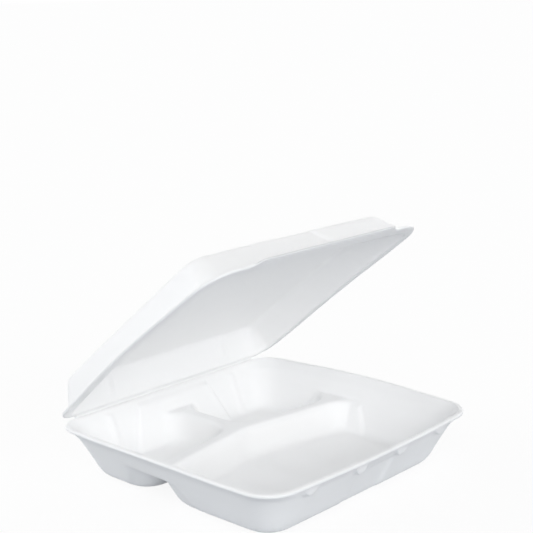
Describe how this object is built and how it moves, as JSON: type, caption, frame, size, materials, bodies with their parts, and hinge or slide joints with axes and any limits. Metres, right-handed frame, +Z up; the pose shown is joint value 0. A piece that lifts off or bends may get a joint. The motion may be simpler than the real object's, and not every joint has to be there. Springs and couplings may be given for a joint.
{
  "type": "foam clamshell container",
  "caption": "White foam takeaway box: a tray divided into compartments by a Y-shaped ridge, with a domed lid hinged along the back, standing ajar.",
  "frame": {"origin": "on the underside of the base, midway between its front edge and its fold and midway across", "axes": "+Z up, +X to the right along the fold, -Y towards the front edge, with the hinge at +Y"},
  "size_m": [0.208, 0.1986, 0.1607],
  "materials": {
    "foam": "soft satin foam with a faint bead grain"
  },
  "bodies": {
    "base": {"base": "foam"},
    "lid": {"lid": "foam"}
  },
  "joints": [
    {"name": "lid_hinge", "type": "hinge", "parent": "base", "child": "lid", "pos_m": [0, 0.095, 0.036], "axis": [-1, 0, 0], "range_deg": [-38.5, 141.5]}
  ]
}
